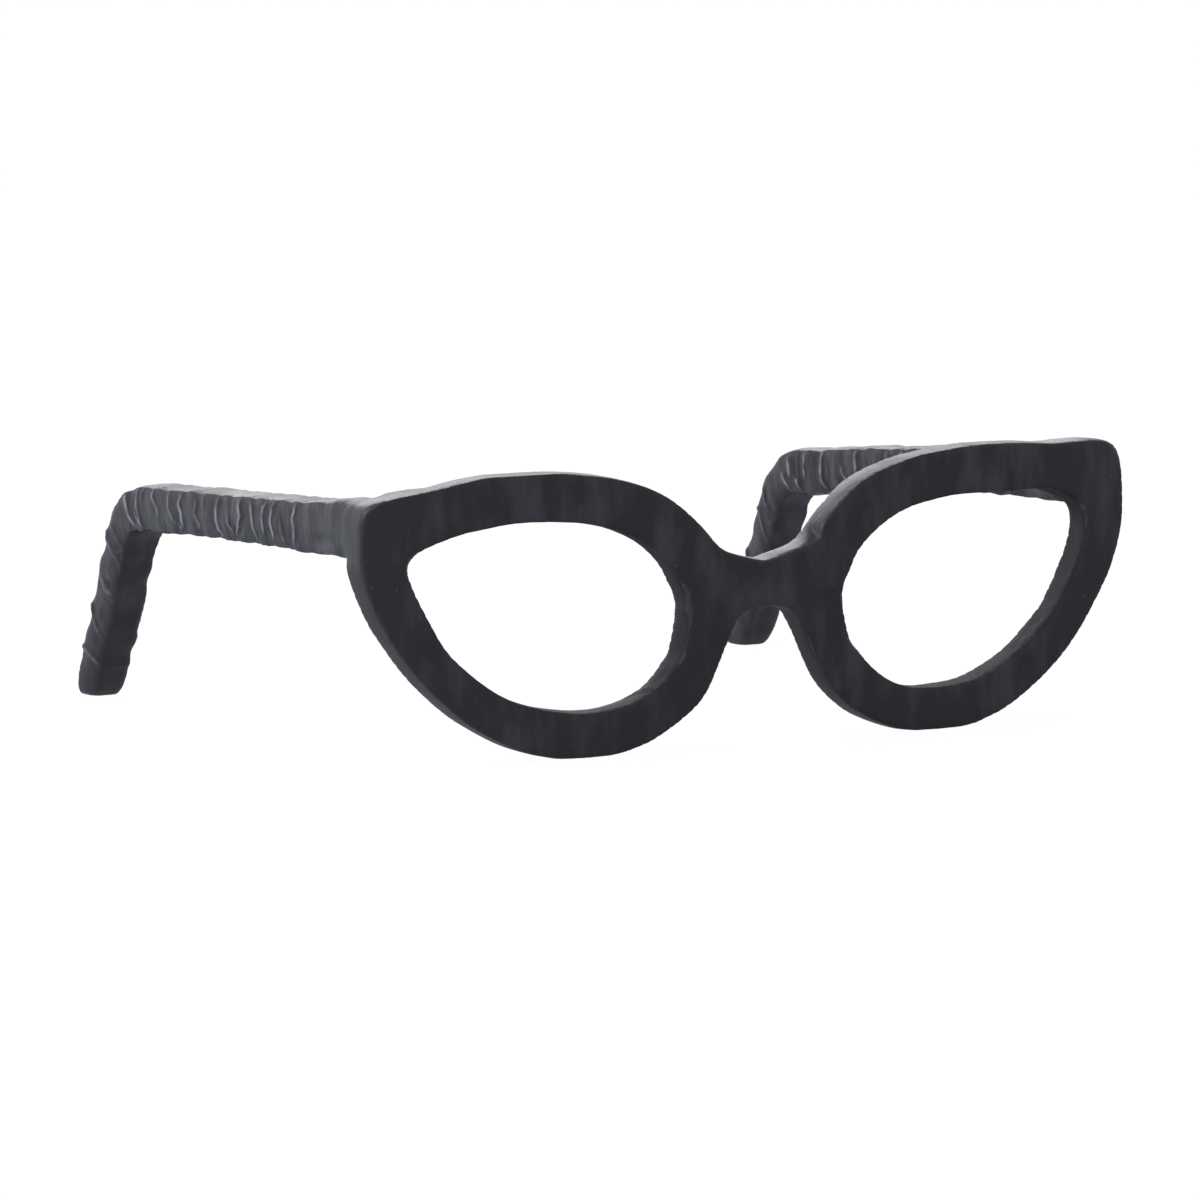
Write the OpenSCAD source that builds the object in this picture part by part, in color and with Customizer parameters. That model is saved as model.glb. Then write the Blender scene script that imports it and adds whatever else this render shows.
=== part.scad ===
// Table-top sculpture of a pair of cat-eye glasses, cast in three pieces.
// Millimetres. X runs across the glasses, Y from the face to the ear tips, Z up.
// The origin is on the table, under the middle of the bounding box.

/* [Front casting] */
// Distance from the middle of the bridge to each lens centre
lens_x = 111; // [108:1:115]
// Width of each lens opening
opening_w = 137; // [131:1:142]
// Height of each lens opening
opening_h = 90; // [84:1:95]
// Width of the rim round each opening
rim_w = 22.5; // [20:0.5:27]
// Reach of the swept upper corner beyond the opening
corner_w = 33.5; // [31:0.5:37]
// Thickness of the front from its face to its back
front_d = 17; // [15:0.5:20]
// Radius that rounds the long edges of the front
edge_r = 2; // [1:0.5:3.5]
// Height of the bridge between its top and its underside
bridge_h = 21.5; // [18:0.5:25]
// Height of the bridge's underside above the lens centres
bridge_lift = 3.5; // [0:0.5:5]
// How far the outer corners curve back behind the bridge
bow = 17; // [10:1:20]

/* [Arms] */
// Distance from the joint with the front to the corner of the ear bend
arm_len = 275; // [260:1:290]
// Height of an arm's section
arm_h = 21.5; // [20:0.5:25]
// Width of an arm's section
arm_w = 21; // [19:0.5:24]
// Radius that rounds the long edges of an arm
arm_edge_r = 3.5; // [2:0.5:5]
// How much higher an arm is where it meets the front
root_high = 5; // [3:0.5:8]
// How much wider an arm is where it meets the front
root_wide = 1; // [0:0.5:3]
// Length over which most of that extra height and width dies away
flare_len = 90; // [60:5:120]
// Height of the arch in an arm between the front and the ear bend
arm_arch = 0.5; // [0:0.5:2]
// How far an arm's centre line sits below the front's swept corner
root_drop = 9.5; // [9:0.5:13]
// Fall of the arms towards the ears, in degrees
arm_fall = 3.5; // [1.5:0.5:5]
// Turn of the arms towards each other, in degrees
toe_in = 2; // [0:0.1:4]
// Radius of the ear bend on the centre line
bend_r = 42; // [34:1:44]
// How much closer to the centre line the inside of the ear bend is cut
bend_tuck = 2.5; // [0:0.5:4]
// Lean of the ear pieces back from upright, in degrees
ear_lean = 30; // [20:1:33]
// Loss of thickness from the ear bend to the ear tip
ear_taper = 2; // [0:0.5:4]
// Height over which an ear piece rounds in to its foot
foot_h = 14; // [8:1:18]
// Share of an ear piece's thickness that its flat foot keeps
foot_share = 0.68; // [0.6:0.02:0.9]

/* [Inner steel] */
// Diameter of the rod cast into each arm
rod_d = 6; // [5:0.5:8]
// Length of the rod that stands out of the arm as a tenon
tenon_l = 11; // [8:0.5:13]
// Cover left between the end of the rod and the ear tip
rod_cover = 22; // [14:1:40]
// Diameter of the pin that stops an arm turning on its tenon
pin_d = 4; // [3:0.5:5]
// Length of the pin, half of it in each casting
pin_l = 16; // [10:1:20]
// Distance from the centre of the tenon down to the centre of the pin
pin_drop = 9; // [8:0.5:10]
// Diameter of the rod cast across the bridge
bridge_rod_d = 6; // [5:0.5:8]
// Length of the rod cast across the bridge
bridge_rod_l = 60; // [40:1:70]
// Gap all round each rod and pin, filled by the casting's bond
bond_gap = 0.05; // [0.02:0.01:0.1]

/* [Hand finish] */
// Depth of the hand-modelled lumps on the front
lump = 0.4; // [0:0.1:0.6]
// Depth of the hand-modelled waves on the arms
wave = 0.6; // [0:0.1:0.8]
// Depth that the rims are dressed flat where they stand on the table
rest_cut = 1; // [0.5:0.1:1.5]

/* [Hidden] */
$fn = 48;

// Each row is a place on the opening, in shares of its width and height from the
// lens centre, and the stand-off of the outline from it, in rim widths. The rows
// run from the nose, under the lens, round the outer side and back over the top.
low_rows = [
    [-0.487, -0.168, -1.06, 0.16],
    [-0.463, -0.228, -1.01, -0.07],
    [-0.404, -0.331, -0.99, -0.34],
    [-0.305, -0.422, -0.85, -0.62],
    [-0.180, -0.464, -0.59, -0.83],
    [-0.032, -0.454, -0.33, -0.98],
    [0.077, -0.412, 0.15, -0.91],
    [0.193, -0.325, 0.45, -0.75],
    [0.297, -0.204, 0.63, -0.59],
    [0.380, -0.070, 0.77, -0.39],
    [0.443, 0.097, 0.99, -0.13],
    [0.490, 0.255, 1.05, 0.13]];
corner_rows = [
    [0.503, 0.348, 0.69, 0.30],
    [0.489, 0.399, 0.69, 0.70],
    [0.442, 0.452, 0.59, 0.74]];
top_rows = [
    [0.294, 0.513, 0.54, 1.00],
    [0.120, 0.539, 0.27, 1.03],
    [-0.063, 0.539, 0.08, 1.01],
    [-0.228, 0.501, -0.12, 1.02],
    [-0.359, 0.409, -0.42, 0.99],
    [-0.446, 0.289, -0.68, 0.84],
    [-0.485, 0.172, -0.93, 0.76]];

// The bridge's underside turns down into the rims this far from the middle
notch_half = 13;
notch_fall = 3;
// The two section lines that start under the bridge meet the lens opening this far
// below the bridge's rounded edge
side_drop = [1.9, 8.2];
// The bridge's top flares up into the rims this far from the middle
flare_half = 12;
flare_rise = 3;
// Sections between two rows, sections across the bridge, and points round a rim
row_steps = 3;
bridge_steps = 4;
rim_pts = 17;
// Rings along the straight arm, round the bend and down the ear piece
arm_rings = 62;
bend_rings = 14;
ear_rings = 22;
ring_pts = 16;
corner_cut = 1 - cos(45);
foot_rings = 6;
ring_clear = 0.6;
// How far an arm's outer side stands in from the front's widest point
arm_inset = 0;
// Extra rounding of an arm's outer top edge at the joint, and how soon it dies away
root_round = 4;
root_fade = 18;
// The back of the front is flat this far round the end of each arm
pad_margin = 14;
pad_reach = 1.3;
// How far the front's lumps shift from one line along the rim to the next
lump_shift = [5, 3];

function place(r, reach) = [
    r[0] * opening_w, r[1] * opening_h,
    r[0] * opening_w + r[2] * reach, r[1] * opening_h + r[3] * reach];
rows = concat(
    [[-0.507 * opening_w, bridge_lift + edge_r - side_drop[0], -lens_x, bridge_lift]],
    [[-0.507 * opening_w, bridge_lift + edge_r - side_drop[1],
        notch_half - lens_x, bridge_lift - notch_fall]],
    [for (r = low_rows) place(r, rim_w)],
    [for (r = corner_rows) place(r, corner_w)],
    [for (r = top_rows) place(r, rim_w)],
    [[-0.500 * opening_w, 0.13 * opening_h, flare_half - lens_x, bridge_lift + bridge_h + flare_rise]],
    [[-0.507 * opening_w, 0.08 * opening_h, -lens_x, bridge_lift + bridge_h]]);
n_rim = (len(rows) - 1) * row_steps;
n_sec = n_rim + bridge_steps;

lens_z = -min([for (r = rows) r[3]]) - rest_cut;
corner_top = lens_z + corner_rows[1][1] * opening_h + corner_rows[1][3] * corner_w;
half_w = lens_x + max([for (r = rows) r[2]]);
joint_y = front_d + bow;
joint_x = half_w - arm_inset - (arm_w + root_wide) / 2;
joint_z = corner_top - root_drop;

// Centre line of an arm: a straight fall, the ear bend, and a straight ear piece
turn = 90 - ear_lean - arm_fall;
bend_cut = bend_r * tan(turn / 2);
bend_arc = bend_r * turn * PI / 180;
fall_l = arm_len / cos(arm_fall) - bend_cut;
corner_z = joint_z - arm_len * tan(arm_fall);
ear_l = corner_z / cos(ear_lean) - bend_cut;
path_l = fall_l + bend_arc + ear_l;
// The ear piece's leaning rings end here, clear above the level rings of its foot
lean_l = ear_l - foot_h / cos(ear_lean) - ring_clear * arm_h * tan(ear_lean);
tip_y = joint_y + arm_len + corner_z * tan(ear_lean);

// The foot's rings, as shares of its height that are left below each ring
foot_left = [for (i = [0 : foot_rings - 1]) 1 - sin(90 * i / (foot_rings - 1))];
function foot_size(left) = 1 - (1 - foot_share) * (1 - sqrt(1 - pow(1 - left, 2)));
mid_y = max([for (f = foot_left)
    tip_y - f * foot_h * tan(ear_lean) + foot_size(f) * (arm_h - ear_taper) / 2 / cos(ear_lean)]) / 2;

// Point and heading on the arm's centre line, s along it, as [y, z, degrees down]
function arm_at(s) =
    s < fall_l
    ? [joint_y + s * cos(arm_fall), joint_z - s * sin(arm_fall), arm_fall]
    : s < fall_l + bend_arc
    ? let(a = arm_fall + (s - fall_l) / bend_arc * turn)
        [joint_y + fall_l * cos(arm_fall) + bend_r * (sin(a) - sin(arm_fall)),
        joint_z - fall_l * sin(arm_fall) - bend_r * (cos(arm_fall) - cos(a)), a]
    : let(left = path_l - s)
        [tip_y - left * sin(ear_lean), left * cos(ear_lean), 90 - ear_lean];

// Smooth curve through a list of rows, at the real-valued row number t
function curve(p, t) =
    let(n = len(p), i = min(floor(t), n - 2), f = t - i,
        a = p[max(i - 1, 0)], b = p[i], c = p[i + 1], d = p[min(i + 2, n - 1)])
    b + f / 2 * (c - a + f * (2 * a - 5 * b + 4 * c - d + f * (3 * (b - c) + d - a)));

// Slow rise and fall over a surface, between about -1 and 1
function lumps(x, z, k) =
    (sin(11 * x + 6 * z + 70 * k) + sin(9 * z - 7 * x + 130 * k)
        + sin(17 * x + 40 * k) * sin(15 * z)) / 3;

// Ease from 0 to 1
function smooth(t) = let(f = min(max(t, 0), 1)) f * f * (3 - 2 * f);

function unit(v) = v / norm(v);
function flat_of(v) = [v[1], -v[0]];

// One section of a rim as [x, y, z] points from the lens centre, right side
function rim_section(i) =
    let(t = i / row_steps, e = 0.05, at = curve(rows, t),
        ahead = curve(rows, min(t + e, len(rows) - 1)), behind = curve(rows, max(t - e, 0)),
        inner = [at[0], at[1]], outer = [at[2], at[3]],
        n_in = flat_of(unit([ahead[0] - behind[0], ahead[1] - behind[1]])),
        n_out = i == 0 ? [0, 1] : i == n_rim ? [0, -1]
            : -flat_of(unit([ahead[2] - behind[2], ahead[3] - behind[3]])),
        c = corner_cut * edge_r, crown = edge_r / 8,
        a = inner + n_in * edge_r, b = outer + n_out * edge_r)
    [for (q = [
        [inner - n_in * crown, front_d / 2],
        [inner, edge_r], [inner + n_in * c, c], [a, 0],
        [a + (b - a) * 0.35, 0], [a + (b - a) * 0.65, 0],
        [b, 0], [outer + n_out * c, c], [outer, edge_r],
        [outer - n_out * crown, front_d / 2],
        [outer, front_d - edge_r], [outer + n_out * c, front_d - c], [b, front_d],
        [(a + b) / 2, front_d],
        [a, front_d], [inner + n_in * c, front_d - c], [inner, front_d - edge_r]])
        [q[0][0], q[1], q[0][1]]];

// One section of the bridge, from the lens opening to the middle plane
function bridge_section(k) =
    let(f = k / bridge_steps, top = rim_section(n_rim), low = rim_section(0))
    [for (j = [0 : rim_pts - 1])
        let(jj = j > 6 && j < 12 ? 6 : j) top[jj] * (1 - f) + low[jj] * f];

// Bend a point back with the bow, press in the lumps, and dress the flats
function dressed(p, j, side) =
    let(x = p[0] + lens_x, z = p[2] + lens_z, on_mid = abs(x) < 0.01 ? 0 : 1,
        pad_x = (x - joint_x + arm_w / 2) / pad_margin + pad_reach,
        pad_z = (z - joint_z + arm_h / 2) / pad_margin + pad_reach,
        on_pad = j > 9 && j < 15 ? smooth(min(pad_x, pad_z)) : 0,
        swell = lump * lumps(side * x, z + lump_shift[1] * j, 1),
        side_swell = on_mid * lump * lumps(side * x + lump_shift[0] * j, z, 2),
        y = p[1] + bow * pow(x / half_w, 2) + on_mid * swell)
    [side * (x + side_swell * 0.6 * (1 - on_pad)), y + (joint_y - y) * on_pad,
        max(0, z + swell * 0.6 * on_mid)];

half_pts = [for (i = [0 : n_sec - 1]) i <= n_rim ? rim_section(i) : bridge_section(i - n_rim)];
n_half = n_sec * rim_pts;
function on_middle(i, j) =
    (i == 0 || i == n_rim) ? (j >= 6 && j <= 12) : i > n_rim ? (j == 6 || j == 12) : false;
function id(i, j, left) =
    let(ii = i % n_sec, jj = j % rim_pts)
    ii * rim_pts + jj + (left && !on_middle(ii, jj) ? n_half : 0);
function skin(left) = [
    for (i = [0 : n_sec - 1], j = [0 : rim_pts - 1])
        if (!(i >= n_rim && j >= 6 && j < 12))
            let(a = id(i, j, left), b = id(i + 1, j, left),
                c = id(i + 1, j + 1, left), d = id(i, j + 1, left))
            each left ? [[a, c, b], [a, d, c]] : [[a, b, c], [a, c, d]]];

// Bores for the tenon and the pin of the right arm
module joint_bores() {
    along_arm() rod_line(rod_d / 2 + bond_gap, tenon_l + bond_gap, rod_cover - bond_gap);
    pin_place() cylinder(d = pin_d + 2 * bond_gap, h = pin_l + 2 * bond_gap, center = true);
}

module pin_place() {
    translate([joint_x, joint_y, joint_z - pin_drop])
        rotate([90, 0, 0])
            children();
}

// The upright plane of the right arm, turned in towards the other arm
module along_arm() {
    translate([joint_x, joint_y, 0])
        rotate([0, 0, toe_in])
            translate([0, -joint_y, 0])
                children();
}

// Two straight lengths of round bar of radius r, welded at the corner of the ear
// bend. The bar stands out of the arm by out and stops short of the tip by cover
module rod_line(r, out, cover) {
    translate([0, joint_y + arm_len, corner_z])
        union() {
            rotate([90 - arm_fall, 0, 0])
                translate([0, 0, -r])
                    cylinder(r = r, h = arm_len / cos(arm_fall) + r + out);
            rotate([180 + ear_lean, 0, 0])
                translate([0, 0, -r])
                    cylinder(r = r, h = corner_z / cos(ear_lean) + r - cover);
        }
}

module front_casting() {
    difference() {
        polyhedron(
            points = concat(
                [for (s = half_pts, j = [0 : rim_pts - 1]) dressed(s[j], j, 1)],
                [for (s = half_pts, j = [0 : rim_pts - 1]) dressed(s[j], j, -1)]),
            faces = concat(skin(false), skin(true)),
            convexity = 8);
        joint_bores();
        mirror([1, 0, 0]) joint_bores();
        bridge_bar(bridge_rod_d + 2 * bond_gap, bridge_rod_l + 2 * bond_gap);
    }
}

module bridge_bar(d, l) {
    translate([0, front_d / 2, lens_z + bridge_lift + bridge_h / 2])
        rotate([0, 90, 0])
            cylinder(d = d, h = l, center = true);
}

// Place along the centre line of each ring of an arm
ring_s = concat(
    [for (i = [0 : arm_rings - 1]) fall_l * i / arm_rings],
    [for (i = [0 : bend_rings - 1]) fall_l + bend_arc * i / bend_rings],
    [for (i = [0 : ear_rings - 1]) fall_l + bend_arc + lean_l * i / (ear_rings - 1)],
    [for (f = foot_left) path_l - f * foot_h / cos(ear_lean)]);
n_rings = len(ring_s);
first_foot = n_rings - foot_rings;

// Outline of an arm's section, [across, up], with the outer top corner rounder
function arm_section(w, h, r, r_top) =
    let(a = w / 2, b = h / 2)
    [[a, 0],
        [a, b - r_top], [a - corner_cut * r_top, b - corner_cut * r_top], [a - r_top, b],
        [0, b],
        [-a + r, b], [-a + corner_cut * r, b - corner_cut * r], [-a, b - r],
        [-a, 0],
        [-a, -b + r], [-a + corner_cut * r, -b + corner_cut * r], [-a + r, -b],
        [0, -b],
        [a - r, -b], [a - corner_cut * r, -b + corner_cut * r], [a, -b + r]];

// Hand-modelled waves across an arm, strongest along its middle
function waves(s, k, seed) =
    (sin(17 * s + 25 * k + 80 * seed) + 0.7 * sin(26 * s - 30 * k + 50 * seed)
        + 0.6 * sin(9 * s + 45 * k + 20 * seed)) / 2;

function arm_ring(i, seed) =
    let(s = ring_s[i], at = arm_at(s), foot = i >= first_foot,
        size = foot ? foot_size(foot_left[i - first_foot]) : 1,
        fade = exp(-s / flare_len), thin = ear_taper * max(0, (s - fall_l) / (path_l - fall_l)),
        w = arm_w + root_wide * fade - thin, h = arm_h + root_high * fade - thin,
        r_top = arm_edge_r + root_round * exp(-pow(s / root_fade, 2)),
        arch = arm_arch * sin(180 * min(1, s / fall_l)),
        tuck = bend_tuck * pow(sin(180 * min(max((s - fall_l) / bend_arc, 0), 1)), 2),
        ease = wave * (1 - exp(-pow(s / 30, 2))) * (foot ? 0 : 1),
        tilt = foot ? 90 : i == 0 ? 0 : at[2], stretch = foot ? 1 / cos(ear_lean) : 1,
        x_mid = joint_x - (at[0] - joint_y) * tan(toe_in))
    [for (k = [0 : ring_pts - 1])
        let(q = arm_section(w, h, arm_edge_r, r_top)[k],
            grow = size + ease * waves(s, k, seed) / (arm_h / 2), across = q[0] * grow,
            up = q[1] * grow * stretch * (q[1] < 0 ? 1 - 2 * tuck / h : 1))
        [x_mid + across, at[0] + up * sin(tilt), at[1] + arch + up * cos(tilt)]];

module arm_casting(seed) {
    pts = [for (i = [0 : n_rings - 1]) each arm_ring(i, seed)];
    sides = [for (i = [0 : n_rings - 2], k = [0 : ring_pts - 1])
        let(a = i * ring_pts + k, b = i * ring_pts + (k + 1) % ring_pts,
            c = b + ring_pts, d = a + ring_pts)
        each [[a, b, c], [a, c, d]]];
    start = [for (k = [1 : ring_pts - 2]) [0, k + 1, k]];
    tip = [for (k = [1 : ring_pts - 2])
        let(o = (n_rings - 1) * ring_pts) [o, o + k, o + k + 1]];
    difference() {
        polyhedron(points = pts, faces = concat(sides, start, tip), convexity = 6);
        joint_bores();
    }
}

module arm_rod() {
    along_arm() rod_line(rod_d / 2, tenon_l, rod_cover);
}

module arm_pin() {
    pin_place() cylinder(d = pin_d, h = pin_l, center = true);
}

module centred() {
    translate([0, -mid_y, 0]) children();
}

module front_frame() {
    color([0.09, 0.09, 0.1]) centred() front_casting();
}

module left_temple() {
    color([0.12, 0.12, 0.13]) centred() mirror([1, 0, 0]) arm_casting(2);
}

module right_temple() {
    color([0.12, 0.12, 0.13]) centred() arm_casting(1);
}

module left_temple_rod() {
    color([0.62, 0.63, 0.65]) centred() mirror([1, 0, 0]) arm_rod();
}

module right_temple_rod() {
    color([0.62, 0.63, 0.65]) centred() arm_rod();
}

module left_joint_pin() {
    color([0.62, 0.63, 0.65]) centred() mirror([1, 0, 0]) arm_pin();
}

module right_joint_pin() {
    color([0.62, 0.63, 0.65]) centred() arm_pin();
}

module bridge_rod() {
    color([0.62, 0.63, 0.65]) centred() bridge_bar(bridge_rod_d, bridge_rod_l);
}

front_frame();
left_temple();
right_temple();
left_temple_rod();
right_temple_rod();
left_joint_pin();
right_joint_pin();
bridge_rod();
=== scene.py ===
import bpy
import bmesh
import math
from mathutils import Matrix, Vector, noise


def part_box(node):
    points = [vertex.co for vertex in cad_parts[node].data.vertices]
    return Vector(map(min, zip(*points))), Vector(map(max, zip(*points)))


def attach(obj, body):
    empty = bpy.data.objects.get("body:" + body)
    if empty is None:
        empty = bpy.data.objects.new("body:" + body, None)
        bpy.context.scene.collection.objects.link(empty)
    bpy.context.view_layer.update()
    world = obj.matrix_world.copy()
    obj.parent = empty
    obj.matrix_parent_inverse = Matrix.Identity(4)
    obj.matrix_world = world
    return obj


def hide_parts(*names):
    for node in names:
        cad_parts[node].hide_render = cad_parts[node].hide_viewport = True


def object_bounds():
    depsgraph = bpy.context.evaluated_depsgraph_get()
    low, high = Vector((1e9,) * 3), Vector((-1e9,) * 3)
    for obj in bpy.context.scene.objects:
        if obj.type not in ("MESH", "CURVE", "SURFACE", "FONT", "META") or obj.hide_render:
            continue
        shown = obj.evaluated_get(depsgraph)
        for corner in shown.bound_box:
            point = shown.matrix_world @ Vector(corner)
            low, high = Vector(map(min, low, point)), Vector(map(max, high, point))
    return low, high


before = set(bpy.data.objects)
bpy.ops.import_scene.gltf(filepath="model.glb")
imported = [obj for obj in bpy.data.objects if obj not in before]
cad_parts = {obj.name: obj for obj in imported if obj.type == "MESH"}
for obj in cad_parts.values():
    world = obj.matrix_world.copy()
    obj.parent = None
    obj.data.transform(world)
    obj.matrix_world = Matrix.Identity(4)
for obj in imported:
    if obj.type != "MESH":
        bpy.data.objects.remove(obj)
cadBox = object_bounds()
print("frame loaded", [round(v, 4) for v in cadBox[0]], [round(v, 4) for v in cadBox[1]])

scene = bpy.context.scene
scene.view_settings.view_transform = "Standard"
mm = 0.001


def ease(t):
    t = min(max(t, 0.0), 1.0)
    return t * t * (3 - 2 * t)


# in the settings below, a pair such as (38.0, 12.0) is where such a slope starts or ends, and its
# length, both in millimetres
def rises(value, start, over):
    return ease((value - start) / over)


def falls(value, end, over):
    return ease((end - value) / over)


def copyOf(name):
    bm = bmesh.new()
    bm.from_mesh(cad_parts[name].data)
    bmesh.ops.remove_doubles(bm, verts=bm.verts, dist=1e-6)
    return bm


def newObject(name, bm):
    mesh = bpy.data.meshes.new(name)
    bm.to_mesh(mesh)
    bm.free()
    obj = bpy.data.objects.new(name, mesh)
    scene.collection.objects.link(obj)
    return obj


def bake(obj):
    # applies the modifiers
    deps = bpy.context.evaluated_depsgraph_get()
    mesh = bpy.data.meshes.new_from_object(obj.evaluated_get(deps))
    obj.modifiers.clear()
    old = obj.data
    obj.data = mesh
    bpy.data.meshes.remove(old)


# an arm's centre line and section, in millimetres and degrees
arm = {
    "length": 275.0,        # from the joint to where the straight and the ear would cross
    "fall": 3.5,
    "toeIn": 2.0,
    "bendRadius": 42.0,
    "lean": 30.0,           # of the ear, from upright
    "height": 21.5,
    "width": 21.0,
    "tenon": 11.0,
    "rodRadius": 3.0,
}

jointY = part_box("left_temple")[0][1]          # plane where arm and front meet
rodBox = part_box("right_temple_rod")
fall = math.radians(arm["fall"])
turn = math.pi / 2 - math.radians(arm["lean"]) - fall
bendRadius = arm["bendRadius"]
jointX = (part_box("right_joint_pin")[0][0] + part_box("right_joint_pin")[1][0]) / 2 / mm
# the rod's front end stands the tenon's length out of the arm
jointZ = rodBox[1][2] / mm - arm["rodRadius"] * math.cos(fall) - arm["tenon"] * math.sin(fall)
straight = arm["length"] / math.cos(fall) - bendRadius * math.tan(turn / 2)
bendLength = bendRadius * turn
bendStart = (jointY / mm + straight * math.cos(fall), jointZ - straight * math.sin(fall))
bendCentre = (bendStart[0] - bendRadius * math.sin(fall),
              bendStart[1] - bendRadius * math.cos(fall))
print("arm joint at", round(jointX, 2), round(jointY / mm, 2), round(jointZ, 2),
      "bend from", round(straight, 1))


def alongArm(y, z):
    # millimetres along the arm from the joint, height above its centre line, and its slope there
    back, up = y - bendCentre[0], z - bendCentre[1]
    ahead = back * math.cos(fall) - up * math.sin(fall)
    out = back * math.sin(fall) + up * math.cos(fall)
    if ahead < 0:
        return straight + ahead, out - bendRadius, fall
    angle = math.atan2(ahead, out)
    if angle < turn:
        return straight + bendRadius * angle, math.hypot(ahead, out) - bendRadius, fall + angle
    slope = fall + turn
    ahead = back * math.cos(slope) - up * math.sin(slope)
    out = back * math.sin(slope) + up * math.cos(slope)
    return straight + bendLength + ahead, out - bendRadius, slope


# one closed skin over the three castings, in millimetres
skin = {
    "castings": ["front_frame", "left_temple", "right_temple"],
    "endDepth": 0.05,       # an arm's end face is within this of the joint
    "tuck": 5.0,            # it goes this far into the front before they are joined
    "weld": 0.12,
    "frontEdge": 1.75,      # longest edge of the divided mesh on the front
    "armEdge": 1.12,        # and on the arms, from a little behind the joint
    "finePast": 20.0,
    "passes": 5,
    "smoothing": 4,
    "pull": 0.5,
    "jointReach": 19.0,     # round the joint it is smoothed more, in narrower and narrower bands
    "jointBands": [14.0, 10.0, 7.0],
    "bandPasses": 20,
}

# filler laid over the joint before it is dressed: the arm's top rises to the front's
filler = {"rise": 2.2, "armReach": 24.0, "nearest": 0.2, "farthest": 72.0, "above": (3.0, 6.0)}


def relax(bm, verts, passes):
    for k in range(passes):
        bmesh.ops.smooth_vert(bm, verts=verts, factor=skin["pull"],
                              use_axis_x=True, use_axis_y=True, use_axis_z=True)


def outerShell(bm):
    # drops the bores, which end up as closed hollows
    left, largest = set(bm.verts), []
    while left:
        part = [left.pop()]
        for v in part:
            for e in v.link_edges:
                other = e.other_vert(v)
                if other in left:
                    left.discard(other)
                    part.append(other)
        largest = max(largest, part, key=len)
    keep = set(largest)
    bmesh.ops.delete(bm, geom=[v for v in bm.verts if v not in keep], context="VERTS")


def joinCastings():
    pieces = []
    for name in skin["castings"]:
        bm = copyOf(name)
        if name != "front_frame":
            ends = [v for v in bm.verts if abs(v.co.y - jointY) < skin["endDepth"] * mm]
            bmesh.ops.translate(bm, verts=ends, vec=(0, -skin["tuck"] * mm, 0))
        pieces.append(newObject("work", bm))
    for piece in pieces[1:]:
        join = pieces[0].modifiers.new("join", "BOOLEAN")
        join.operation, join.solver, join.object = "UNION", "EXACT", piece
    bake(pieces[0])
    bm = bmesh.new()
    bm.from_mesh(pieces[0].data)
    for piece in pieces:
        bpy.data.objects.remove(piece)
    outerShell(bm)
    bmesh.ops.remove_doubles(bm, verts=bm.verts, dist=skin["weld"] * mm)
    bmesh.ops.triangulate(bm, faces=bm.faces)
    return bm


def castingSkin():
    # the joined castings, finely divided, filled and smoothed at the joints
    bm = joinCastings()
    fineFrom = jointY + skin["finePast"] * mm
    for k in range(skin["passes"]):
        long = [e for e in bm.edges if e.calc_length() / mm >
                skin["armEdge" if min(v.co.y for v in e.verts) > fineFrom else "frontEdge"]]
        bmesh.ops.subdivide_edges(bm, edges=long, cuts=1)
        bmesh.ops.triangulate(bm, faces=[f for f in bm.faces if len(f.verts) > 3])
    for v in bm.verts:
        back, up = (v.co.y - jointY) / mm, v.co.z / mm - jointZ
        if filler["nearest"] < back < filler["farthest"] and up > filler["above"][0]:
            share = rises(up, *filler["above"]) * math.exp(-(back / filler["armReach"]) ** 2)
            v.co.z += filler["rise"] * mm * share
    relax(bm, bm.verts, skin["smoothing"])
    for band in skin["jointBands"]:
        near = [v for v in bm.verts if abs(v.co.y - jointY) < band * mm and
                math.hypot(abs(v.co.x) / mm - jointX, v.co.z / mm - jointZ) < skin["jointReach"]]
        relax(bm, near, skin["bandPasses"])
    bm.normal_update()
    return bm


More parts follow.
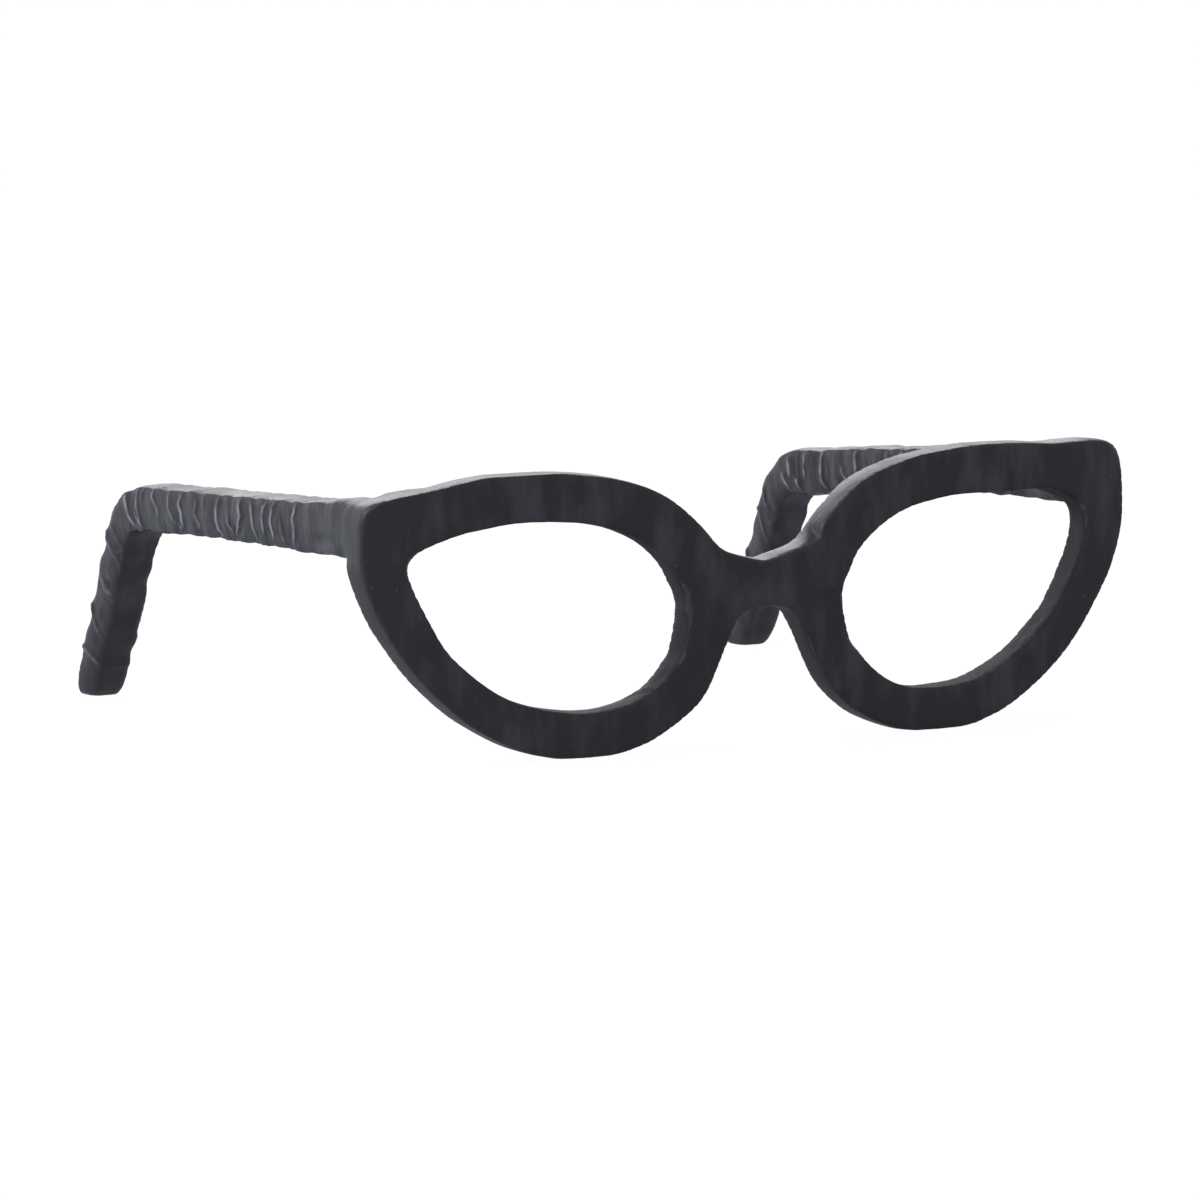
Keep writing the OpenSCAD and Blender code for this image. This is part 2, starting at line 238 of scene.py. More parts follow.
# hand-modelled folds, each a share of the height, then points of its crest: millimetres from the
# joint, and above the centre line on the side that the left arm has outside and the right inside
folds = {
    "height": 1.15,
    "width": 0.95, "sharpness": 1.25,
    "hollow": 0.26, "hollowPlace": 4.2, "hollowWidth": 2.6,     # beside each crest
    "roughFrom": (38.0, 12.0),                  # the arm is dressed smooth up to here
    "search": 26.0, "reach": 12.0,              # how far a fold is looked for, and how far it goes
    "endFade": 4.5,                             # past the end of a crest on the flat
    "overEdge": 7.5,                            # a crest that ends above this runs on round the arm
    "wander": 7.0, "wanderOver": 14.0, "wanderSize": (9.3, 13.0), "wanderSeed": 3.3,
    "farHeight": 0.9, "farSpread": 0.5,         # of its height out of sight
    "seam": 6.0,                                # all fade out where the far side meets itself
    "left": [
        (1.0, [(52.5, 12.7), (57.7, 8.4), (60.6, 4.1), (58.8, -0.6), (61.9, -7.7)]),
        (0.9, [(79.9, 11.1), (83.9, 7.2), (86.9, 1.5), (85.2, -4.1)]),
        (0.7, [(91.9, 10.3), (95.9, 6.4), (97.6, 2.1), (97.0, -2.6)]),
        (0.7, [(75.5, -2.0), (72.9, -10.4)]),
        (0.8, [(112.2, 11.5), (110.2, 7.0), (109.6, 1.8), (109.0, -3.4), (106.1, -9.5)]),
        (1.0, [(120.4, 12.4), (123.5, 6.6), (122.8, 2.4), (125.8, -2.4), (129.9, -6.8)]),
        (0.7, [(139.0, -1.4), (134.8, -7.0)]),
        (1.0, [(149.7, 11.2), (153.0, 3.5), (153.6, -1.3), (152.8, -5.6), (148.3, -8.3)]),
        (0.7, [(162.7, 14.2), (166.9, 10.3), (168.0, 6.0)]),
        (0.6, [(177.4, 4.8), (179.1, 0.9), (176.0, -4.3)]),
        (0.9, [(191.0, 15.0), (195.4, 8.6), (198.4, 4.2), (196.5, -0.1), (197.0, -4.4)]),
        (0.6, [(204.8, 13.7), (210.4, 8.2), (211.0, 3.4), (206.8, -3.2), (199.7, -6.4)]),
        (0.8, [(224.6, 14.7), (230.1, 11.1), (230.6, 6.8), (225.1, 0.1)]),
        (0.7, [(237.3, 13.4), (244.4, 6.9)]),
        (0.6, [(248.7, -7.8), (244.1, -11.5)]),
        (1.0, [(264.4, 9.0), (264.4, 3.7), (263.8, -1.5), (256.3, -10.8)]),
        (0.6, [(253.1, -2.1), (250.9, -5.4), (243.9, -10.1)]),
        (0.6, [(284.1, 4.4), (285.0, -1.3), (285.5, -8.2)]),
        (1.0, [(290.0, 9.0), (292.5, 4.2), (295.4, -5.9), (302.3, -16.4)]),
        (0.7, [(292.5, -5.0), (284.6, -12.0)]),
        (1.2, [(313.6, 2.1), (315.9, -4.8), (315.0, -12.0)]),
        (0.9, [(332.1, 8.6), (337.4, 1.6), (340.3, -2.7)]),
        (1.0, [(356.6, 6.4), (356.7, 0.7), (356.7, -9.4)]),
    ],
    "right": [
        (0.9, [(199.0, 12.0), (199.5, 5.0), (199.0, 0.0)]),
        (0.9, [(167.0, 12.0), (169.0, 8.0)]),
        (1.0, [(232.0, 10.0), (233.5, 5.0), (234.0, 0.5)]),
        (0.6, [(228.5, 4.6), (228.0, -1.4)]),
        (0.7, [(248.5, 6.7), (249.0, 0.0)]),
        (0.7, [(213.0, -0.6), (210.0, -5.0)]),
        (0.7, [(234.0, -4.5), (230.5, -9.5)]),
        (0.9, [(258.7, -5.6), (249.8, -14.9)]),
        (0.9, [(262.8, 5.3), (263.5, 0.0)]),
        (1.0, [(270.3, -0.2), (264.5, -16.0)]),
        (0.9, [(289.7, 6.9), (294.8, 0.0)]),
        (1.1, [(301.4, 6.8), (310.5, -8.4)]),
        (0.6, [(302.0, -7.0), (299.0, -17.0)]),
        (0.9, [(328.0, 9.0), (333.0, 2.0), (334.0, -6.0)]),
        (0.8, [(350.0, 7.0), (352.0, -4.0)]),
    ],
    "sharedTo": 165.0,      # as far as this the right arm has the left one's folds, shifted
    "shift": 5.0,
}
for height, points in folds["left"]:
    if max(s for s, up in points) < folds["sharedTo"]:
        folds["right"].append((height, [(s + folds["shift"], up) for s, up in points]))


def girthAt(out, up):
    # millimetres round the section: the folded side is up itself, then over the top and down
    halfW, halfH = arm["width"] / 2, arm["height"] / 2
    if abs(out / halfW) >= abs(up / halfH):
        return up if out > 0 else 2 * halfH + 2 * halfW - up
    return halfH + halfW - out if up > 0 else -halfH - halfW + out


def crestPlace(points, girth):
    # where a crest lies along the arm at this girth, and the share of its height that it has
    first, last = points[0], points[-1]
    if girth >= first[1] or girth <= last[1]:
        end = first if girth >= first[1] else last
        beyond = abs(girth - end[1])
        if abs(end[1]) < folds["overEdge"]:
            return end[0], 1 - ease(beyond / folds["endFade"])
        along, around = folds["wanderSize"]
        wander = noise.noise(Vector((end[0] / along, girth / around, folds["wanderSeed"])))
        place = end[0] + folds["wander"] * wander * ease(beyond / folds["wanderOver"])
        return place, folds["farHeight"] + folds["farSpread"] * wander
    for a, b in zip(points, points[1:]):
        if girth >= b[1]:
            return a[0] + (b[0] - a[0]) * ease((a[1] - girth) / (a[1] - b[1])), 1.0


def foldHeight(side, s, girth):
    halfRound = arm["width"] + arm["height"]
    seam = min(arm["height"] / 2 + halfRound - girth, girth + halfRound - arm["height"] / 2)
    total = 0.0
    for height, points in folds[side]:
        if abs(points[len(points) // 2][0] - s) > folds["search"]:
            continue
        place, share = crestPlace(points, girth)
        d = abs(s - place)
        if d < folds["reach"]:
            hollow = math.exp(-((d - folds["hollowPlace"]) / folds["hollowWidth"]) ** 2)
            crest = math.exp(-(d / folds["width"]) ** folds["sharpness"])
            total += height * share * (crest - folds["hollow"] * hollow)
    return total * ease(seam / folds["seam"])


# slow lumps all over, finer unevenness, and swells on the arms that grow toward the ear
lumps = {
    "slow": 0.35, "slowSize": 30.0, "slowFiner": 2.1,
    "fine": 0.12, "fineSize": 8.0,
    "swell": 0.7, "swellSize": 15.0, "swellNear": 0.4, "swellFar": (200.0, 80.0),
    "footFade": 2.0,        # none of it on the faces that it stands on
}

# strokes of the modelling tool along the arms, in patches
strokes = {"height": 0.34, "size": (4.2, 15.0), "seed": {"left": 9.0, "right": 5.0},
           "patchSize": (21.0, 17.0, 50.0), "even": 0.5}

# folds and strokes are rubbed low on top and underneath, between these places round the section
rubbed = {"share": 0.9, "top": (7.0, 4.0), "topEnd": (38.0, 6.0), "under": (-5.5, 5.0)}

# painted highlight: on crests, less on the ears, and on anything that stands out
highlights = {"crest": 1.25, "earLess": 0.6, "earFrom": (262.0, 25.0), "step": 0.16, "edge": 0.25}

# dressed edges are cut closer than the casting's round, in millimetres taken out of it
edges = {
    "arm": 1.5, "armFrom": (14.0, 22.0), "armTo": (285.0, 25.0), "flattest": 0.1,
    "front": 1.7, "jointClear": (18.0, 10.0), "ahead": 8.0, "aheadOver": 5.0,
    "finalPasses": 4, "smoothAbove": 2.5, "smoothBack": 30.0,
}

# the lit side of an arm leans in low down, more where the filler is dressed smooth; there its lower
# part gets a painted highlight
dressing = {
    "lean": 1.1, "below": (0.0, 9.0), "above": (-21.0, 9.0), "from": (0.0, 25.0),
    "smoothLean": 0.6, "smoothLift": 0.45,
    "pale": 0.24, "highlightBelow": (2.0, 10.0), "highlightFrom": (6.0, 14.0),
}

# slow changes of form, in millimetres: middle, reach and move
farMoves = 6.0              # squared reaches past which a move stops
moves = [
    ((194, -165, 131), 26, (0, 0, 3.6)),         # right corner stands higher
    ((-186, -165, 131), 28, (0, 0, -1.8)),       # left corner hangs lower
    ((166, -172, 80), 16, (1.8, 0, 0)),          # right opening's outer wall
    ((-112, -174, 23), 16, (0, 0, 1.3)),         # left rim thicker at the bottom
    ((-86, -176, 22), 16, (0, 0, 1.3)),
    ((52, -178, 36), 16, (0.8, 0, 0.7)),         # right opening's inner lower wall
    ((-50, -182, 11), 18, (-1.0, 0, 0.9)),       # left rim's lower inner side
    ((-192, -146, 99), 12, (0, 0, -1.2)),        # filler under the left joint
    ((183, 128, 75), 26, (-1.2, 3.0, 0)),        # right ear fuller at the back
    ((158, -172, 104), 15, (1.5, 0, 3.0)),       # right opening reaches up into its corner
    ((-192, -112, 100), 30, (0, 0, -1.3)),       # left arm deeper at its root
    ((-184, 139, 84), 13, (0, -2.4, -0.8)),      # both bends rounder at the back
    ((184, 139, 84), 13, (0, -3.2, -1.0)),
    ((-184, 96, 106), 20, (0, 0, 1.6)),          # left bend fuller on top
    ((183, 100, 82), 14, (0, -3.0, -2.0)),       # right bend filled on its inside
    ((-125, -175, 128), 30, (0, 0, 1.5)),        # left brow a little higher
]

# a whole arm up or down: place along it, reach, move
lifts = {
    "left": [(215, 85, 2.3)],
    "right": [(80, 45, 2.2), (245, 32, -1.4)],
    "from": (0.0, 20.0),
}

# a step in the crease beside the bridge: the flat stops short at its right end
ledge = {
    "through": (28.4, -185.9, 94.2), "facing": (-0.28, -0.42, 0.86),
    "from": 4.0, "fade": 12.0, "to": 28.2, "end": 1.4, "above": 84.0,
}

# the openings' walls face this point, across and up
opening = {"middle": (111.0, 72.0), "wallFrom": (0.2, 0.5)}

# a line cut round the right opening, where its outer wall meets the front face
groove = {"from": (112.0, 10.0), "top": (112.0, 12.0), "foot": (22.0, 12.0), "depth": 1.5}

# rough spots left as modelled: middle, reach, height and size of the lumps
farCrags = 5.0              # squared reaches past which a spot stops
cragFiner = 2.3
crags = [
    ((160, -171, 97), 13, 1.0, 6.0),
    ((165, -170, 62), 20, 0.8, 8.0),
    ((150, -170, 42), 14, 0.7, 7.0),
    ((-62, -178, 30), 14, 1.2, 7.0),
    ((24, -184, 93), 9, 0.5, 5.0),
]


def cutLedge(p):
    if ledge["from"] < p.x < ledge["to"] + ledge["end"] and p.z > ledge["above"]:
        n = Vector(ledge["facing"]).normalized()
        d = (p - Vector(ledge["through"])).dot(n)
        start = rises(p.x, ledge["from"], ledge["fade"])
        share = start * (1 - rises(p.x, ledge["to"], ledge["end"]))
        if d > 0:
            p -= n * d * share


def twoSizes(p, size, finer):
    # noise with half as much again, finer, on top
    return noise.noise(p / size) + 0.5 * noise.noise(p / size * finer)


def squareness(a, b, least=0.0):
    # 0 where a face points along an axis, most at the middle of a round edge
    return math.hypot(a, b) / max(abs(a), abs(b), least) - 1


def roughArm(v, paintedLight, place, side, girth, rough):
    # folds, strokes and swells: how far out the surface moves
    s, up, across, x = place
    along, around = strokes["size"]
    streak = noise.noise(Vector((s / along, girth / around, strokes["seed"][side])))
    sizes = strokes["patchSize"]
    patch = strokes["even"] + noise.noise(Vector((s / sizes[0], girth / sizes[1], x / sizes[2])))
    swell = noise.noise(Vector((s, up, across)) / lumps["swellSize"])
    grows = lumps["swellNear"] + (1 - lumps["swellNear"]) * rises(s, *lumps["swellFar"])
    onTop = rises(girth, *rubbed["top"]) * falls(girth, *rubbed["topEnd"])
    kept = (1 - rubbed["share"] * onTop) * (1 - rubbed["share"] * falls(girth, *rubbed["under"]))
    fold = foldHeight(side, s, girth) * kept
    # painted highlight on the crests, painted shade in the hollows beside them, kept for the
    # material
    v[paintedLight] = rough * fold * highlights["crest"] * (1 - highlights["earLess"] * rises(s, *highlights["earFrom"]))
    stroke = strokes["height"] * kept * patch * (0.5 - abs(streak) * 2)
    return rough * (fold * folds["height"] + stroke + lumps["swell"] * swell * grows)


def armDetail(v, paintedLight, p, n):
    # how far out an arm's surface moves at p, and how rough it is there; p is leant and lifted too
    s, up, slope = alongArm(p.y, p.z)
    side = "right" if p.x > 0 else "left"
    toeIn = math.tan(math.radians(arm["toeIn"]))
    across = abs(p.x) - jointX + (p.y - jointY / mm) * toeIn
    girth = girthAt(across if side == "left" else -across, up)
    rough = rises(s, *folds["roughFrom"])
    move = 0.0
    if rough > 0:
        move = roughArm(v, paintedLight, (s, up, across, p.x), side, girth, rough)
    upward = n.y * math.sin(slope) + n.z * math.cos(slope)
    square = squareness(n.x, upward, edges["flattest"])
    along = rises(s, *edges["armFrom"]) * (1 - rises(s, *edges["armTo"]))
    move += edges["arm"] * (n.x ** 2 + upward ** 2) * square * along
    if side == "left" or across < 0:    # the side that the light falls on
        leans = falls(girth, *dressing["below"]) * rises(girth, *dressing["above"])
        tuck = dressing["lean"] * leans * rises(s, *dressing["from"])
        p.x += tuck * (1 + dressing["smoothLean"] * (1 - rough))
        p.z += tuck * dressing["smoothLift"] * (1 - rough)
        # a painted highlight on the lower part of the lit side, where it is dressed smooth
        pale = falls(girth, *dressing["highlightBelow"]) * rises(s, *dressing["highlightFrom"])
        v[paintedLight] += dressing["pale"] * (1 - rough) * pale
    lift = sum(height * math.exp(-((s - place) / reach) ** 2)
               for place, reach, height in lifts[side])
    p.z += lift * rises(s, *lifts["from"])
    return move, rough


def frontDetail(p, n, wall):
    # closer edges, the groove and the rough spots: how far out the front's surface moves
    fromJoint = math.hypot(abs(p.x) - jointX, p.z - jointZ)
    ahead = falls(p.y, jointY / mm - edges["ahead"], edges["aheadOver"])
    clear = max(rises(fromJoint, *edges["jointClear"]), ahead)
    move = edges["front"] * squareness(n.y, math.sqrt(max(0.0, 1 - n.y ** 2))) * clear
    inGroove = (rises(p.x, *groove["from"]) * falls(p.z, *groove["top"])
                * rises(p.z, *groove["foot"]))
    move -= groove["depth"] * inGroove * 4 * wall * (1 - wall)   # deepest half-way round the edge
    for middle, reach, height, size in crags:
        d = (p - Vector(middle)).length_squared / reach ** 2
        if d < farCrags:
            move += height * wall * math.exp(-d) * twoSizes(p, size, cragFiner)
    return move


def markEdgeHighlight(bm, paintedLight):
    # painted highlight too where a point stands out from its neighbours
    for v in bm.verts:
        around = sum((e.other_vert(v).co for e in v.link_edges), Vector()) / len(v.link_edges)
        edge = min(1.0, max(0.0, (v.co - around).dot(v.normal) / (highlights["step"] * mm)))
        v[paintedLight] = min(1.0, max(v[paintedLight], highlights["edge"] * edge))


def modelSurface(bm):
    # painted highlight and shade, which the material reads as the attribute crest
    paintedLight = bm.verts.layers.float.new("crest")
    dressed = bm.verts.layers.float.new("dressed")
    walls = bm.verts.layers.float.new("wall")
    places = []
    # outward directions by face area, shared with the neighbours, since slivers have none
    out = [sum((f.normal * f.calc_area() for f in v.link_faces), Vector()).normalized()
           for v in bm.verts]
    bm.verts.index_update()
    for v in bm.verts:
        p = v.co / mm
        n = sum((out[e.other_vert(v).index] for e in v.link_edges), out[v.index]).normalized()
        move = (lumps["slow"] * twoSizes(p, lumps["slowSize"], lumps["slowFiner"])
                + lumps["fine"] * noise.noise(p / lumps["fineSize"]))
        rough = 0.0
        if p.y > jointY / mm:
            change, rough = armDetail(v, paintedLight, p, n)
            move += change
        else:
            across, up = opening["middle"]
            inward = Vector((math.copysign(across, p.x) - p.x, 0, up - p.z)).normalized()
            v[walls] = rises(inward.dot(n), *opening["wallFrom"])
            move += frontDetail(p, n, v[walls])
        if p.z < lumps["footFade"]:
            move *= max(p.z, 0) / lumps["footFade"]
        p += n * move
        for middle, reach, shift in moves:
            d = (p - Vector(middle)).length_squared / reach ** 2
            if d < farMoves:
                p += Vector(shift) * math.exp(-d)
        cutLedge(p)
        for k in range(3):   # stays inside the castings' box
            p[k] = min(max(p[k], cadBox[0][k] / mm), cadBox[1][k] / mm)
        v[dressed] = 1 - rough
        places.append(p * mm)
    for v, p in zip(bm.verts, places):
        v.co = p
    clear = [v for v in bm.verts if v.co.z > edges["smoothAbove"] * mm
             and v.co.y < jointY + edges["smoothBack"] * mm]
    relax(bm, clear, edges["finalPasses"])
    bm.normal_update()
    markEdgeHighlight(bm, paintedLight)


def cutPiece(bm, name, side):
    # side 0 keeps the front, -1 and 1 keep an arm; the cut face is closed
    bm = bm.copy()
    geom = bm.verts[:] + bm.edges[:] + bm.faces[:]
    bmesh.ops.bisect_plane(bm, geom=geom, dist=1e-7, plane_co=(0, jointY, 0), plane_no=(0, 1, 0),
                           clear_outer=side == 0, clear_inner=side != 0)
    if side:
        other = [v for v in bm.verts if v.co.x * side < 0]
        bmesh.ops.delete(bm, geom=other, context="VERTS")
    rim = [e for e in bm.edges if e.is_boundary]
    caps = bmesh.ops.holes_fill(bm, edges=rim, sides=0)["faces"]
    for e in rim:
        e.smooth = False
    bmesh.ops.triangulate(bm, faces=caps)
    for f in bm.faces:
        f.smooth = True
    return newObject(name, bm)


form = castingSkin()
print("castings joined", len(form.verts), "vertices")
modelSurface(form)
frontSkin = cutPiece(form, "front_skin", 0)
leftSkin = cutPiece(form, "left_arm_skin", -1)
rightSkin = cutPiece(form, "right_arm_skin", 1)
form.free()
for obj, node, slotName in ((frontSkin, "front_frame", "front_casting"),
                            (leftSkin, "left_temple", "arm_casting"),
                            (rightSkin, "right_temple", "arm_casting")):
    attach(obj, "root")
    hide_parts(node)
    triangles = sum(len(f.vertices) - 2 for f in obj.data.polygons)
    print(obj.name, triangles, "triangles")


def addNode(tree, kind, **values):
    node = tree.nodes.new(kind)
    for name, value in values.items():
        setattr(node, name, value)
    return node


def noiseNode(tree, coord, scale, detail=3.0, stretch=None):
    node = addNode(tree, "ShaderNodeTexNoise")
    node.inputs["Scale"].default_value = scale
    node.inputs["Detail"].default_value = detail
    if stretch:
        mapping = addNode(tree, "ShaderNodeMapping")
        mapping.inputs["Scale"].default_value = stretch
        tree.links.new(coord.outputs["Object"], mapping.inputs["Vector"])
        tree.links.new(mapping.outputs["Vector"], node.inputs["Vector"])
    else:
        tree.links.new(coord.outputs["Object"], node.inputs["Vector"])
    return node


def rangeNode(tree, source, low, high, toLow, toHigh):
    node = addNode(tree, "ShaderNodeMapRange")
    values = {"From Min": low, "From Max": high, "To Min": toLow, "To Max": toHigh}
    for name, value in values.items():
        node.inputs[name].default_value = value
    tree.links.new(source, node.inputs["Value"])
    return node


def mixColour(tree, share, low, high):
    node = addNode(tree, "ShaderNodeMix", data_type="RGBA")
    tree.links.new(share, node.inputs["Factor"])
    for socket, value in ((node.inputs[6], low), (node.inputs[7], high)):
        if isinstance(value, tuple):
            socket.default_value = (*value, 1)
        else:
            tree.links.new(value, socket)
    return node


def attributeNode(tree, name):
    return addNode(tree, "ShaderNodeAttribute", attribute_name=name).outputs["Fac"]


def multiply(tree, a, b):
    node = addNode(tree, "ShaderNodeMath", operation="MULTIPLY")
    for socket, value in zip(node.inputs, (a, b)):
        if isinstance(value, float):
            socket.default_value = value
        else:
            tree.links.new(value, socket)
    return node.outputs[0]


# waxed black, as scales of noise in cycles per metre and ranges of (low, high, to low, to high)
resin = {
    "colour": (0.0190, 0.0180, 0.0225),
    "cloud": (0.041, 0.039, 0.047), "cloudSize": 26, "cloudStretch": (1.6, 1.0, 0.6),
    "streakSize": 120, "streakStretch": (1.0, 1.0, 0.32), "cloudRange": (0.22, 0.38, 0, 1),
    # next, a painted shade in the hollows beside the crests
    "hollow": (0.011, 0.0105, 0.014), "shadeRange": (-0.04, -0.24, 0, 0.9),
    # next, a painted highlight on crests and edges
    "highlight": (0.34, 0.34, 0.37), "highlightRange": (0.15, 0.70, 0, 1),
    "patchSize": 110, "patchRange": (0.35, 0.62, 0.25, 1.0),
    "speck": (0.35, 0.35, 0.37), "speckSize": 620, "speckRange": (0.80, 0.84, 0, 0.5),
    "roughness": (0.3, 0.7, 0.34, 0.50), "wallRoughness": 0.7,
    "grainSize": 1300, "strokeSize": 260, "strokeStretch": (1.0, 1.6, 0.25), "strokeShare": 3.0,
    "bump": 0.35, "bumpHeight": 0.0003,
}


def resinColour(tree, coord, cloud):
    # soft clouds, painted shade in the hollows beside the crests, painted highlight on crests and
    # edges, a few pale specks
    streaks = noiseNode(tree, coord, resin["streakSize"], 5, resin["streakStretch"])
    mixed = multiply(tree, cloud.outputs["Fac"], streaks.outputs["Fac"])
    clouds = rangeNode(tree, mixed, *resin["cloudRange"])
    base = mixColour(tree, clouds.outputs["Result"], resin["colour"], resin["cloud"])
    crest = attributeNode(tree, "crest")
    # painted shade in the hollows beside the crests
    shaded = rangeNode(tree, crest, *resin["shadeRange"])
    base = mixColour(tree, shaded.outputs["Result"], base.outputs[2], resin["hollow"])
    # painted highlight on crests and edges, in patches
    patchy = noiseNode(tree, coord, resin["patchSize"], 3)
    patches = rangeNode(tree, patchy.outputs["Fac"], *resin["patchRange"])
    raised = rangeNode(tree, crest, *resin["highlightRange"])
    highlight = multiply(tree, raised.outputs["Result"], patches.outputs["Result"])
    base = mixColour(tree, highlight, base.outputs[2], resin["highlight"])
    speck = noiseNode(tree, coord, resin["speckSize"], 1)
    specks = rangeNode(tree, speck.outputs["Fac"], *resin["speckRange"])
    return mixColour(tree, specks.outputs["Result"], base.outputs[2], resin["speck"]).outputs[2]


def resinRoughness(tree, cloud):
    # the wax is uneven, and the openings' walls have less of it
    waxed = rangeNode(tree, cloud.outputs["Fac"], *resin["roughness"])
    matte = addNode(tree, "ShaderNodeMix", data_type="FLOAT")
    tree.links.new(attributeNode(tree, "wall"), matte.inputs["Factor"])
    tree.links.new(waxed.outputs["Result"], matte.inputs["A"])
    matte.inputs["B"].default_value = resin["wallRoughness"]
    return matte.outputs["Result"]


def resinBump(tree, coord):
    # fine grain all over, and strokes of the sanding block where it is dressed
    grain = noiseNode(tree, coord, resin["grainSize"], 3)
    stroke = noiseNode(tree, coord, resin["strokeSize"], 3, resin["strokeStretch"])
    sanded = multiply(tree, stroke.outputs["Fac"], attributeNode(tree, "dressed"))
    height = addNode(tree, "ShaderNodeMath", operation="ADD")
    tree.links.new(multiply(tree, sanded, resin["strokeShare"]), height.inputs[0])
    tree.links.new(grain.outputs["Fac"], height.inputs[1])
    bump = addNode(tree, "ShaderNodeBump")
    bump.inputs["Strength"].default_value = resin["bump"]
    bump.inputs["Distance"].default_value = resin["bumpHeight"]
    tree.links.new(height.outputs[0], bump.inputs["Height"])
    return bump.outputs["Normal"]


def newMaterial(name):
    mat = bpy.data.materials.new(name)
    mat.use_nodes = True
    return mat, mat.node_tree, mat.node_tree.nodes["Principled BSDF"]


def blackResin():
    mat, tree, shader = newMaterial("black resin")
    coord = addNode(tree, "ShaderNodeTexCoord")
    cloud = noiseNode(tree, coord, resin["cloudSize"], 4, resin["cloudStretch"])
    tree.links.new(resinColour(tree, coord, cloud), shader.inputs["Base Color"])
    tree.links.new(resinRoughness(tree, cloud), shader.inputs["Roughness"])
    tree.links.new(resinBump(tree, coord), shader.inputs["Normal"])
    return mat


resinMat = blackResin()
for obj in (frontSkin, leftSkin, rightSkin):
    obj.data.materials.clear()
    obj.data.materials.append(resinMat)

# plain drawn bar inside the castings
steel = {
    "nodes": ["left_temple_rod", "right_temple_rod", "left_joint_pin", "right_joint_pin",
              "bridge_rod"],
    "colour": (0.55, 0.56, 0.58), "streakSize": 400, "roughness": (0, 1, 0.28, 0.42),
}


def drawnSteel():
    mat, tree, shader = newMaterial("drawn steel")
    shader.inputs["Metallic"].default_value = 1
    shader.inputs["Base Color"].default_value = (*steel["colour"], 1)
    streak = noiseNode(tree, addNode(tree, "ShaderNodeTexCoord"), steel["streakSize"])
    rough = rangeNode(tree, streak.outputs["Fac"], *steel["roughness"])
    tree.links.new(rough.outputs["Result"], shader.inputs["Roughness"])
    return mat


steelMat = drawnSteel()
for name in steel["nodes"]:
    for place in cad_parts[name].material_slots:
        place.material = steelMat
print("materials made")

# the photograph's viewpoint, in degrees and metres
view = {
    "azimuth": -27.0692, "elevation": 6.4871, "roll": -1.0240, "distance": 4.85272,
    "target": (-0.061133, -0.132908, 0.067461), "lens": 309.161, "sensor": 36, "farthest": 50,
}


def addCamera():
    a, e, r = (math.radians(view[k]) for k in ("azimuth", "elevation", "roll"))
    back = Vector((math.sin(a) * math.cos(e), -math.cos(a) * math.cos(e), math.sin(e)))
    level = (-back).cross(Vector((0, 0, 1))).normalized()
    upright = level.cross(-back)
    right = level * math.cos(r) + upright * math.sin(r)
    up = upright * math.cos(r) - level * math.sin(r)
    cam = bpy.data.cameras.new("camera")
    cam.lens = view["lens"]
    cam.sensor_width = view["sensor"]
    cam.clip_end = view["farthest"]
    obj = bpy.data.objects.new("camera", cam)
    turnTo = Matrix((right, up, back)).transposed().to_4x4()
    place = Vector(view["target"]) + back * view["distance"]
    obj.matrix_world = Matrix.Translation(place) @ turnTo
    scene.collection.objects.link(obj)
    scene.camera = obj


def seenDirect(tree, path):
    # 1 for the camera and through glass
    direct = addNode(tree, "ShaderNodeMath", operation="MAXIMUM")
    tree.links.new(path.outputs["Is Camera Ray"], direct.inputs[0])
    tree.links.new(path.outputs["Is Transmission Ray"], direct.inputs[1])
    return direct.outputs[0]


def mixShaders(tree, share, low, high):
    mix = addNode(tree, "ShaderNodeMixShader")
    tree.links.new(share, mix.inputs["Fac"])
    tree.links.new(low, mix.inputs[1])
    tree.links.new(high, mix.inputs[2])
    return mix.outputs[0]


def glowNode(tree, kind, colour, strength=None):
    node = addNode(tree, kind)
    node.inputs["Color"].default_value = (*colour, 1)
    if strength is not None:
        node.inputs["Strength"].default_value = strength
    return node


# gloss sees the floor dim close by, and pale far behind the object and to its left
ground = {
    "size": 12, "colour": (0.86, 0.89, 0.94),
    "white": 1.035, "whiteShare": 0.94,         # what the camera sees; the rest takes the shadow
    "leftGlow": 0.75, "glow": (0.03, 0.50, 0.32, 0.95), "glowColour": (0.84, 0.91, 1.0),
}


def addFloor():
    bm = bmesh.new()
    bmesh.ops.create_grid(bm, x_segments=1, y_segments=1, size=ground["size"])
    floor = newObject("floor", bm)
    mat = bpy.data.materials.new("pale floor")
    mat.use_nodes = True
    tree = mat.node_tree
    tree.nodes.clear()
    matte = addNode(tree, "ShaderNodeBsdfDiffuse")
    matte.inputs["Color"].default_value = (*ground["colour"], 1)
    white = glowNode(tree, "ShaderNodeEmission", (1, 1, 1), ground["white"])
    path = addNode(tree, "ShaderNodeLightPath")
    share = multiply(tree, seenDirect(tree, path), ground["whiteShare"])
    seen = mixShaders(tree, share, matte.outputs[0], white.outputs[0])
    coord = addNode(tree, "ShaderNodeTexCoord")
    split = addNode(tree, "ShaderNodeSeparateXYZ")
    tree.links.new(coord.outputs["Object"], split.inputs["Vector"])
    far = addNode(tree, "ShaderNodeMath", operation="MAXIMUM")
    tree.links.new(split.outputs["Y"], far.inputs[0])
    tree.links.new(multiply(tree, split.outputs["X"], -ground["leftGlow"]), far.inputs[1])
    glow = rangeNode(tree, far.outputs[0], *ground["glow"])
    pale = glowNode(tree, "ShaderNodeEmission", ground["glowColour"])
    tree.links.new(glow.outputs["Result"], pale.inputs["Strength"])
    full = mixShaders(tree, path.outputs["Is Glossy Ray"], seen, pale.outputs[0])
    out = addNode(tree, "ShaderNodeOutputMaterial")
    tree.links.new(full, out.inputs["Surface"])
    floor.data.materials.append(mat)


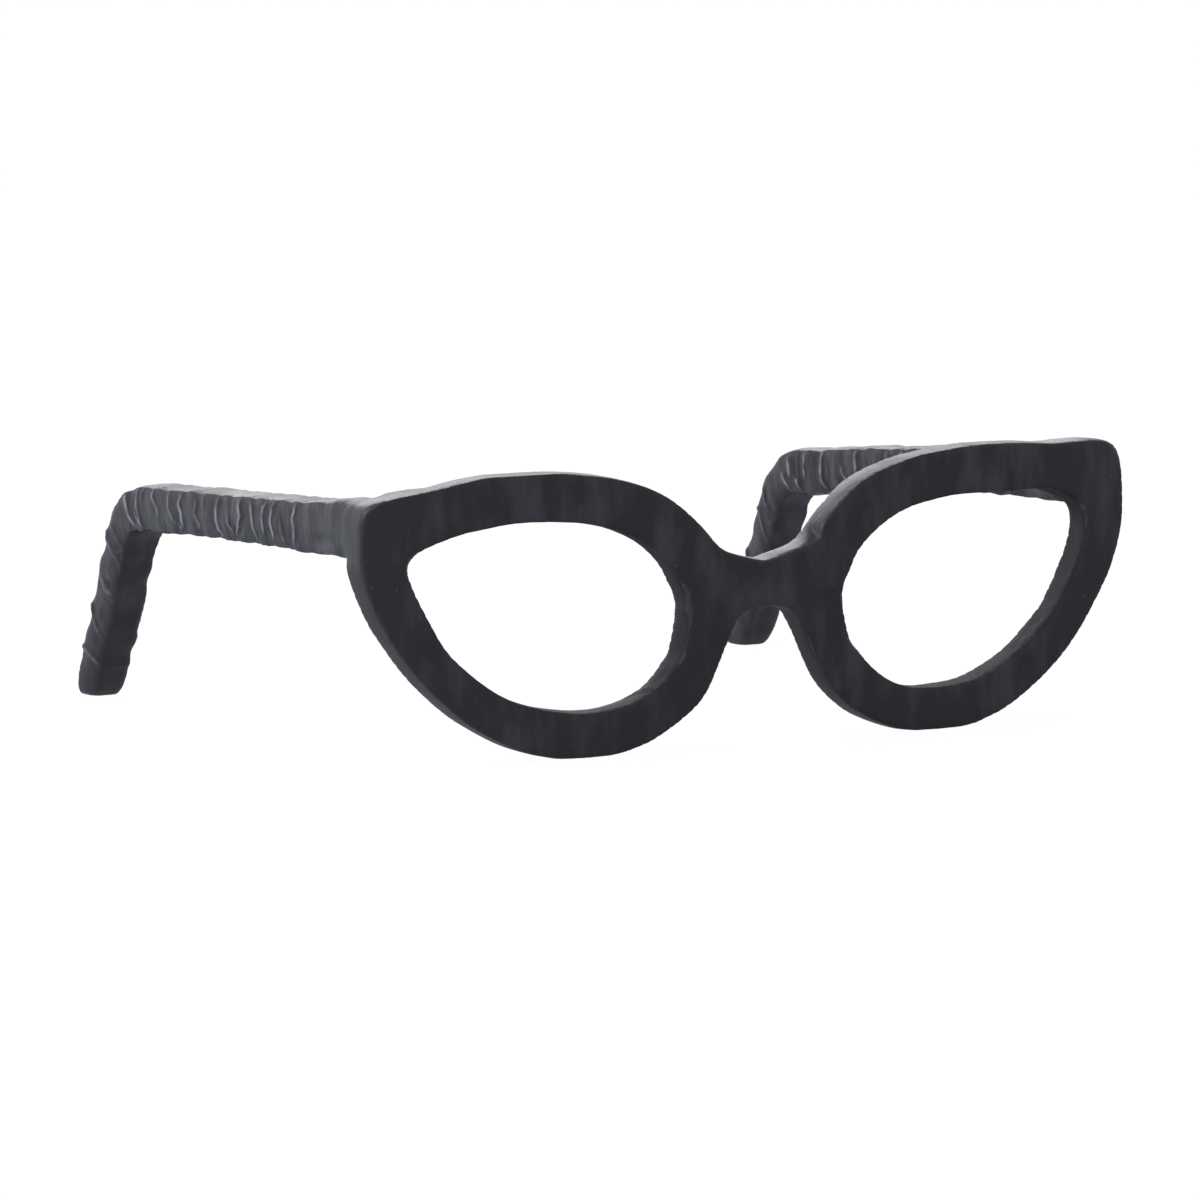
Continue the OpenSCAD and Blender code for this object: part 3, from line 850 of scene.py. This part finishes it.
# soft light from all round; gloss sees the white backdrop one way and a dimmer room the others
room = {
    "light": 0.62, "lightColour": (0.95, 0.93, 1.0),
    "behind": (-0.10, 0.99, 0.0), "glow": (0.35, 0.90, 0.48, 1.0), "colour": (0.93, 0.91, 1.0),
}


def addWorld():
    world = bpy.data.worlds.new("studio")
    world.use_nodes = True
    scene.world = world
    tree = world.node_tree
    tree.nodes.clear()
    soft = glowNode(tree, "ShaderNodeBackground", room["lightColour"], room["light"])
    around = glowNode(tree, "ShaderNodeBackground", room["colour"])
    white = glowNode(tree, "ShaderNodeBackground", (1, 1, 1))
    coord = addNode(tree, "ShaderNodeTexCoord")
    dot = addNode(tree, "ShaderNodeVectorMath", operation="DOT_PRODUCT")
    dot.inputs[1].default_value = room["behind"]
    tree.links.new(coord.outputs["Generated"], dot.inputs[0])
    glow = rangeNode(tree, dot.outputs["Value"], *room["glow"])
    tree.links.new(glow.outputs["Result"], around.inputs["Strength"])
    path = addNode(tree, "ShaderNodeLightPath")
    gloss = mixShaders(tree, path.outputs["Is Glossy Ray"], soft.outputs[0], around.outputs[0])
    full = mixShaders(tree, seenDirect(tree, path), gloss, white.outputs[0])
    out = addNode(tree, "ShaderNodeOutputWorld")
    tree.links.new(full, out.inputs["Surface"])


# name, place, size in metres and power in watts
softboxes = {
    "aim": (0, 0, 0.06),
    "boxes": [
        ("high back", (0.7, 1.9, 1.1), (1.6, 1.0), 13),
        ("high left", (-2.0, 0.6, 1.7), (1.4, 1.2), 18),
    ],
}


def addSoftbox(name, place, size, power):
    light = bpy.data.lights.new(name, "AREA")
    light.shape = "RECTANGLE"
    light.size, light.size_y = size
    light.energy = power
    obj = bpy.data.objects.new(name, light)
    aim = (Vector(softboxes["aim"]) - Vector(place)).to_track_quat("-Z", "Y")
    obj.matrix_world = Matrix.Translation(place) @ aim.to_matrix().to_4x4()
    scene.collection.objects.link(obj)


addCamera()
addFloor()
addWorld()
for box in softboxes["boxes"]:
    addSoftbox(*box)
print("studio set")
